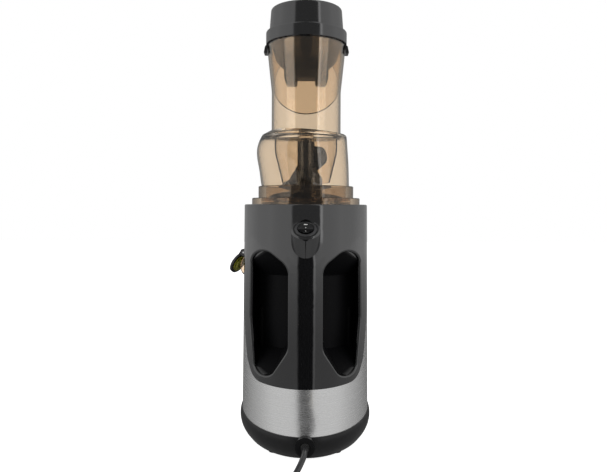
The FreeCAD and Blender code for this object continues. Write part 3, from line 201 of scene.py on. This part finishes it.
def tint(tree, texture, low, high):
    """Turns a noise texture into a colour between two colours."""
    node = tree.nodes.new("ShaderNodeValToRGB")
    first, last = node.color_ramp.elements
    first.position = NOISE_LOW
    first.color = (*low, 1.0)
    last.position = NOISE_HIGH
    last.color = (*high, 1.0)
    tree.links.new(texture, node.inputs["Fac"])
    return node.outputs["Color"]


def mixed(tree, factor, low, high):
    """Mixes two colours, each an RGB tuple or a socket."""
    node = tree.nodes.new("ShaderNodeMix")
    node.data_type = "RGBA"
    # Inputs 6 and 7 and output 2 are this node's colour sockets
    for socket, color in ((node.inputs[6], low), (node.inputs[7], high)):
        if isinstance(color, tuple):
            socket.default_value = (*color, 1.0)
        else:
            tree.links.new(color, socket)
    tree.links.new(factor, node.inputs[0])
    return node.outputs[2]


def bump(tree, shader, source, distance, strength=1.0):
    node = tree.nodes.new("ShaderNodeBump")
    node.inputs["Distance"].default_value = distance
    node.inputs["Strength"].default_value = strength
    tree.links.new(source, node.inputs["Height"])
    tree.links.new(node.outputs["Normal"], shader.inputs["Normal"])


def plastic(name, low, high, rough, grain, depth, coat=0.0, specular=0.5):
    """Opaque plastic or rubber between two colours, with a fine grain of some depth."""
    material, tree, shader = new_material(name)
    color = tint(tree, noise(tree, COLOR_SCALE), low, high)
    tree.links.new(color, shader.inputs["Base Color"])
    gloss = spread(tree, noise(tree, GLOSS_SCALE), 0.85 * rough, 1.15 * rough)
    tree.links.new(gloss, shader.inputs["Roughness"])
    shader.inputs["Coat Weight"].default_value = coat
    shader.inputs["Coat Roughness"].default_value = 0.03
    shader.inputs["Specular IOR Level"].default_value = specular
    bump(tree, shader, noise(tree, grain), depth)
    return material


def brushed(name, low, high, rough, stretch, depth, metallic=1.0):
    """Metal with fine brush lines, which run across the stretched axis."""
    material, tree, shader = new_material(name)
    lines = noise(tree, 1.0, 4.0, stretch)
    tree.links.new(tint(tree, lines, low, high), shader.inputs["Base Color"])
    tree.links.new(spread(tree, lines, 0.8 * rough, 1.2 * rough), shader.inputs["Roughness"])
    shader.inputs["Metallic"].default_value = metallic
    shader.inputs["Anisotropic"].default_value = 0.6
    tangent = tree.nodes.new("ShaderNodeTangent")
    tangent.direction_type = "RADIAL"
    tangent.axis = "Z"
    tree.links.new(tangent.outputs["Tangent"], shader.inputs["Tangent"])
    bump(tree, shader, lines, depth, 0.5)
    return material


def axis_ratio(tree):
    """How far a point stands from the screw's axis, as a share of the body's footprint."""
    scale = (1 / BODY_HALF_WIDTH, 1 / BODY_REAR, 0.0)
    shift = (-AXIS_X / BODY_HALF_WIDTH, -AXIS_Y / BODY_REAR, 0.0)
    return length(tree, scaled_place(tree, scale, shift))


def height(tree):
    split = tree.nodes.new("ShaderNodeSeparateXYZ")
    tree.links.new(place(tree), split.inputs["Vector"])
    return split.outputs["Z"]


def housing_gloss(name):
    """Glossy outside and dull in the depth of the hand recesses, whose slightly darker colour there
    is painted shade.
    """
    material, tree, shader = new_material(name)
    skin = ranged(tree, axis_ratio(tree), RECESS_DULL, RECESS_GLOSSY, 0.0, 1.0)
    outside = tint(tree, noise(tree, COLOR_SCALE),
                   (0.0045, 0.0045, 0.005), (0.006, 0.006, 0.0065))
    # Painted shade: the recesses' colour is a little darker than the outside's
    painted_recess_shade = (0.004, 0.004, 0.0045)
    tree.links.new(mixed(tree, skin, painted_recess_shade, outside), shader.inputs["Base Color"])
    tree.links.new(ranged(tree, skin, 0.0, 1.0, 0.5, 0.11), shader.inputs["Roughness"])
    tree.links.new(skin, shader.inputs["Coat Weight"])
    shader.inputs["Coat Roughness"].default_value = 0.04
    shader.inputs["Coat IOR"].default_value = 1.65
    shader.inputs["Specular IOR Level"].default_value = 0.08
    bump(tree, shader, noise(tree, 900.0), 0.000004)
    return material


def amber(name, low, high, skirt=None):
    """Clear tinted plastic between two colours, or of the skirt's colour below the skirt's top."""
    material, tree, shader = new_material(name)
    color = tint(tree, noise(tree, AMBER_COLOR_SCALE), low, high)
    if skirt:
        above = ranged(tree, height(tree), SKIRT_TOP, SKIRT_TOP + SKIRT_EDGE, 0.0, 1.0)
        color = mixed(tree, above, skirt, color)
    tree.links.new(color, shader.inputs["Base Color"])
    gloss = spread(tree, noise(tree, AMBER_GLOSS_SCALE), *AMBER_ROUGHNESS)
    tree.links.new(gloss, shader.inputs["Roughness"])
    shader.inputs["Transmission Weight"].default_value = 1.0
    shader.inputs["IOR"].default_value = AMBER_IOR
    bump(tree, shader, noise(tree, AMBER_WAVE_SCALE), AMBER_WAVE_DEPTH)
    return material


BLACK_GLOSS = plastic("black_gloss", (0.004, 0.004, 0.0045), (0.006, 0.006, 0.0065),
                      0.14, 900.0, 0.000006, coat=0.6)
BLACK_MATTE = plastic("black_matte", (0.016, 0.016, 0.017), (0.022, 0.022, 0.023),
                      0.42, 1400.0, 0.00002)
SCREW_BLACK = plastic("screw_black", (0.004, 0.0035, 0.003), (0.006, 0.005, 0.0045),
                      0.22, 500.0, 0.00002, specular=0.6)
BASE_MATTE = plastic("base_matte", (0.007, 0.007, 0.0075), (0.010, 0.010, 0.0105),
                     0.34, 1400.0, 0.00001, specular=0.22)
RUBBER = plastic("rubber_black", (0.012, 0.012, 0.012), (0.02, 0.02, 0.02),
                 0.75, 1600.0, 0.00004)
GREY = plastic("grey_plastic", (0.035, 0.035, 0.037), (0.05, 0.05, 0.052),
               0.5, 1200.0, 0.00003)
ACETAL = plastic("white_acetal", (0.68, 0.68, 0.64), (0.75, 0.75, 0.71),
                 0.35, 700.0, 0.00001)
SEAL_GREEN = plastic("silicone_green", (0.20, 0.20, 0.006), (0.26, 0.26, 0.010),
                     0.45, 700.0, 0.00002)
SEAL_DARK = plastic("silicone_dark", (0.01, 0.01, 0.01), (0.016, 0.016, 0.016),
                    0.6, 800.0, 0.00002)
JACKET = plastic("cord_jacket", (0.016, 0.016, 0.017), (0.024, 0.024, 0.025),
                 0.38, 1500.0, 0.00002, coat=0.2)
MARKS = plastic("switch_marks", (0.62, 0.62, 0.60), (0.70, 0.70, 0.68),
                0.5, 900.0, 0.00001)
STEEL_SKIN = brushed("steel_skin", (0.94, 0.94, 0.935), (0.98, 0.98, 0.975),
                     0.24, (6.0, 6.0, 2600.0), 0.000001, metallic=0.92)
STEEL = brushed("steel_turned", (0.50, 0.50, 0.50), (0.62, 0.62, 0.62),
                0.3, (60.0, 60.0, 1800.0), 0.00001)
LAMINATIONS = brushed("laminations", (0.12, 0.12, 0.125), (0.24, 0.24, 0.25),
                      0.45, (20.0, 20.0, 1500.0), 0.00005)
COPPER = brushed("copper_wire", (0.50, 0.20, 0.09), (0.72, 0.34, 0.17),
                 0.35, (900.0, 900.0, 30.0), 0.0001)
BRASS = brushed("brass_pins", (0.62, 0.47, 0.2), (0.75, 0.6, 0.3),
                0.3, (500.0, 500.0, 40.0), 0.00001)
HOUSING = housing_gloss("housing_gloss")
AMBER_LID = amber("amber_lid", (0.780, 0.683, 0.562), (0.794, 0.697, 0.576),
                  skirt=(0.49, 0.37, 0.25))
AMBER_BOWL = amber("amber_bowl", (0.65, 0.50, 0.35), (0.67, 0.52, 0.37))
AMBER_GUIDE = amber("amber_guide", (0.90, 0.79, 0.66), (0.91, 0.80, 0.67))

NODE_MATERIALS = {
    HOUSING: ("lower_housing", "upper_housing"),
    BLACK_GLOSS: ("switch_rocker", "side_tabs", "pusher", "strainer_frame", "brush_holder"),
    BLACK_MATTE: ("switch_bezel", "juice_cap"),
    SCREW_BLACK: ("auger",),
    BASE_MATTE: ("base_pan",),
    RUBBER: ("rubber_feet", "strain_relief"),
    GREY: ("cooling_fan", "motor_lower_bell", "motor_upper_bell", "gear_case",
           "gear_case_cover"),
    ACETAL: ("compound_gear", "brush_idler"),
    SEAL_GREEN: ("cap_seal", "pulp_gasket"),
    SEAL_DARK: ("shaft_seal", "brush_blades"),
    JACKET: ("cord_lead", "cord_coil", "cord_tail", "plug"),
    STEEL_SKIN: ("steel_wrap", "strainer_mesh"),
    STEEL: ("base_screws", "motor_rotor", "motor_bearings", "motor_pinion", "gear_axle",
            "output_gear", "drive_shaft", "cap_hinge_pin"),
    LAMINATIONS: ("motor_stator",),
    COPPER: ("motor_windings",),
    BRASS: ("plug_pins",),
    AMBER_LID: ("lid",),
    AMBER_BOWL: ("juicing_bowl",),
    AMBER_GUIDE: ("feed_guide",),
}
for material, names in NODE_MATERIALS.items():
    for name in names:
        slots = nodes[name].data.materials
        slots.clear()
        slots.append(material)


# Marks on the rocker
def lathe(rings, segments=24):
    """Points and faces of a revolved piece, from (radius, height) rings from axis to axis."""
    round_rings = rings[1:-1]
    points = [(0, 0, rings[0][1])]
    for radius, level in round_rings:
        for index in range(segments):
            angle = 2 * math.pi * index / segments
            points.append((radius * math.cos(angle), radius * math.sin(angle), level))
    points.append((0, 0, rings[-1][1]))
    last = len(points) - 1
    top = last - segments
    faces = []
    for index in range(segments):
        following = (index + 1) % segments
        faces.append((0, 1 + following, 1 + index))
        for low in range(1, top, segments):
            high = low + segments
            faces.append((low + index, low + following, high + following, high + index))
        faces.append((top + index, top + following, last))
    return points, faces


def drawn_out(point, stretch):
    """Moves a point away from the middle sideways, unless it is in the middle."""
    x, y, z = point
    if abs(x) > MARK_RADIUS / 1000:
        x += math.copysign(stretch, x)
    return x, y, z


def rocker_surface(along):
    """Place and normal of the rocker's face at a distance down its slope."""
    tilt = Matrix.Rotation(-SWITCH_LEAN, 4, "X")
    outwards = tilt @ Vector((0, 0, 1))
    start = Vector(SWITCH_PLACE) + tilt @ Vector((0, along, MARK_SEARCH))
    rocker = nodes["switch_rocker"]
    back = rocker.matrix_world.inverted()
    direction = (back.to_3x3() @ -outwards).normalized()
    _, point, normal, _ = rocker.ray_cast(back @ start, direction)
    return rocker.matrix_world @ point, normal


def add_mark(name, along, stretch=0.0):
    """A low domed mark on the rocker, drawn out sideways by 'stretch'."""
    rings = [(0, -MARK_SINK), (MARK_RADIUS, -MARK_SINK), (MARK_RADIUS, 0.4 * MARK_RISE),
             (0.86 * MARK_RADIUS, 0.8 * MARK_RISE), (0.5 * MARK_RADIUS, MARK_RISE),
             (0, MARK_RISE)]
    points, faces = lathe(rings)
    mesh = bpy.data.meshes.new(name)
    mesh.from_pydata([drawn_out(point, stretch) for point in points], [], faces)
    mesh.polygons.foreach_set("use_smooth", [True] * len(mesh.polygons))
    mesh.materials.append(MARKS)
    mark = bpy.data.objects.new(name, mesh)
    point, normal = rocker_surface(along)
    turn = Vector((0, 0, 1)).rotation_difference(normal).to_matrix().to_4x4()
    mark.matrix_world = Matrix.Translation(point) @ turn
    bpy.context.scene.collection.objects.link(mark)
    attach(mark, "switch")


add_mark("mark_bar", along=-0.0050, stretch=MARK_BAR_STRETCH)
add_mark("mark_dot_upper", along=-0.0013)
add_mark("mark_dot_lower", along=0.0048)


# Cord
def coil_points():
    """Half turns of the coil, spiralling in and then, on the second layer, out."""
    points = []
    x = COIL_CENTRE[0] + COIL_RADII[0]
    level = COIL_FLOOR
    for index, radius in enumerate(COIL_RADII):
        reach = radius if index % 2 == 0 else -radius
        middle = x - reach
        rise = COIL_RISE if index == CLIMB else 0.0
        for number in range(POINTS_PER_HALF):
            share = number / POINTS_PER_HALF
            angle = math.pi * share
            points.append((middle + reach * math.cos(angle),
                           COIL_CENTRE[1] + reach * math.sin(angle), level + rise * share))
        x -= 2 * reach
        level += rise
    points.append((x, COIL_CENTRE[1], level))
    return points


def add_cord():
    coil = coil_points()
    end = Vector(coil[-1])
    about_axis = LEAD + coil + [tuple(end + Vector(offset)) for offset in TAIL]
    route = [(x + AXIS_X, y + AXIS_Y, z) for x, y, z in about_axis]
    curve = bpy.data.curves.new("mains_cord", "CURVE")
    curve.dimensions = "3D"
    curve.bevel_depth = CORD_DIAMETER / 2
    curve.bevel_resolution = 6
    curve.resolution_u = 6
    curve.use_fill_caps = True
    spline = curve.splines.new("NURBS")
    spline.points.add(len(route) - 1)
    for point, position in zip(spline.points, route):
        point.co = (*position, 1.0)
    spline.order_u = 3
    spline.use_endpoint_u = True
    cord = bpy.data.objects.new("mains_cord", curve)
    bpy.context.scene.collection.objects.link(cord)
    curve.materials.append(JACKET)
    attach(cord, "base")
    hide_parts("cord_lead", "cord_coil", "cord_tail")


add_cord()


# Studio
def seen_directly(tree):
    """1 for camera, glossy and transmission rays, 0 for the rays that light the object."""
    path = tree.nodes.new("ShaderNodeLightPath")
    total = path.outputs["Is Camera Ray"]
    for name in ("Is Glossy Ray", "Is Transmission Ray"):
        add = tree.nodes.new("ShaderNodeMath")
        add.operation = "MAXIMUM"
        tree.links.new(total, add.inputs[0])
        tree.links.new(path.outputs[name], add.inputs[1])
        total = add.outputs[0]
    return total


def mirrored_only(tree):
    """1 for rays that a surface has mirrored, 0 for those that only passed clear plastic."""
    path = tree.nodes.new("ShaderNodeLightPath")
    return ranged(tree, path.outputs["Glossy Depth"], 0.0, 1.0, 0.0, 1.0)


def level_by_angle(tree, vector, levels):
    """A light level for a vector, by its angle from the camera's side seen from above."""
    split = tree.nodes.new("ShaderNodeSeparateXYZ")
    tree.links.new(vector, split.inputs["Vector"])
    angle = tree.nodes.new("ShaderNodeMath")
    angle.operation = "ARCTAN2"
    tree.links.new(split.outputs["X"], angle.inputs[0])
    tree.links.new(split.outputs["Y"], angle.inputs[1])
    ramp = tree.nodes.new("ShaderNodeValToRGB")
    stops = ramp.color_ramp.elements
    while len(stops) < len(levels):
        stops.new(0.5)
    for stop, (degrees, level) in zip(stops, levels):
        stop.position = 0.5 + degrees / 360
        stop.color = (level, level, level, 1.0)
    share = ranged(tree, angle.outputs[0], -math.pi, math.pi, 0.0, 1.0)
    tree.links.new(share, ramp.inputs["Fac"])
    return ramp.outputs["Color"]


def add_world():
    world = bpy.data.worlds.new("studio")
    world.use_nodes = True
    tree = world.node_tree
    tree.nodes.clear()
    output = tree.nodes.new("ShaderNodeOutputWorld")
    background = tree.nodes.new("ShaderNodeBackground")
    even = ranged(tree, seen_directly(tree), 0.0, 1.0, ROOM_LIGHT, 1.0)
    direction = tree.nodes.new("ShaderNodeTexCoord").outputs["Generated"]
    mirrored = level_by_angle(tree, direction, ROOM)
    light = mixed(tree, mirrored_only(tree), even, mirrored)
    tree.links.new(light, background.inputs["Color"])
    tree.links.new(background.outputs["Background"], output.inputs["Surface"])
    bpy.context.scene.world = world


def white_floor(tree):
    """White with a glow of its own for rays that see it, so that it still takes a shadow."""
    diffuse = tree.nodes.new("ShaderNodeBsdfDiffuse")
    diffuse.inputs["Color"].default_value = FLOOR_COLOR
    glow = tree.nodes.new("ShaderNodeEmission")
    strength = ranged(tree, seen_directly(tree), 0.0, 1.0, 0.0, FLOOR_GLOW)
    tree.links.new(strength, glow.inputs["Strength"])
    total = tree.nodes.new("ShaderNodeAddShader")
    tree.links.new(diffuse.outputs["BSDF"], total.inputs[0])
    tree.links.new(glow.outputs["Emission"], total.inputs[1])
    return total.outputs["Shader"]


def mirrored_table(tree):
    """What glossy parts mirror of the floor, by angle and by distance from the body's rear."""
    away = tree.nodes.new("ShaderNodeVectorMath")
    away.operation = "SUBTRACT"
    away.inputs[1].default_value = (AXIS_X, AXIS_Y + BODY_REAR, 0.0)
    tree.links.new(place(tree), away.inputs[0])
    offset = away.outputs["Vector"]
    fade = ranged(tree, length(tree, offset), TABLE_NEAR, TABLE_FAR, TABLE_NEAR_SHARE, 1.0)
    mirror = tree.nodes.new("ShaderNodeEmission")
    tree.links.new(level_by_angle(tree, offset, TABLE), mirror.inputs["Color"])
    tree.links.new(fade, mirror.inputs["Strength"])
    return mirror.outputs["Emission"]


def add_floor():
    material = bpy.data.materials.new("floor_white")
    material.use_nodes = True
    tree = material.node_tree
    tree.nodes.clear()
    output = tree.nodes.new("ShaderNodeOutputMaterial")
    choice = tree.nodes.new("ShaderNodeMixShader")
    tree.links.new(mirrored_only(tree), choice.inputs["Fac"])
    tree.links.new(white_floor(tree), choice.inputs[1])
    tree.links.new(mirrored_table(tree), choice.inputs[2])
    tree.links.new(choice.outputs["Shader"], output.inputs["Surface"])
    half = FLOOR_SIZE / 2
    corners = [(-half, -half, 0), (half, -half, 0), (half, half, 0), (-half, half, 0)]
    mesh = bpy.data.meshes.new("floor")
    mesh.from_pydata(corners, [], [(0, 1, 2, 3)])
    mesh.materials.append(material)
    floor = bpy.data.objects.new("floor", mesh)
    bpy.context.scene.collection.objects.link(floor)


def add_softbox(name, position, target, width, tall, power):
    """An area light that glossy parts don't show."""
    data = bpy.data.lights.new(name, "AREA")
    data.shape = "RECTANGLE"
    data.size = width
    data.size_y = tall
    data.energy = power
    lamp = bpy.data.objects.new(name, data)
    lamp.location = position
    direction = Vector(target) - Vector(position)
    lamp.rotation_euler = direction.to_track_quat("-Z", "Y").to_euler()
    lamp.visible_glossy = False
    bpy.context.scene.collection.objects.link(lamp)


add_world()
add_floor()
for name, values in SOFTBOXES.items():
    add_softbox(name, *values)
bpy.context.scene.view_settings.view_transform = "Standard"
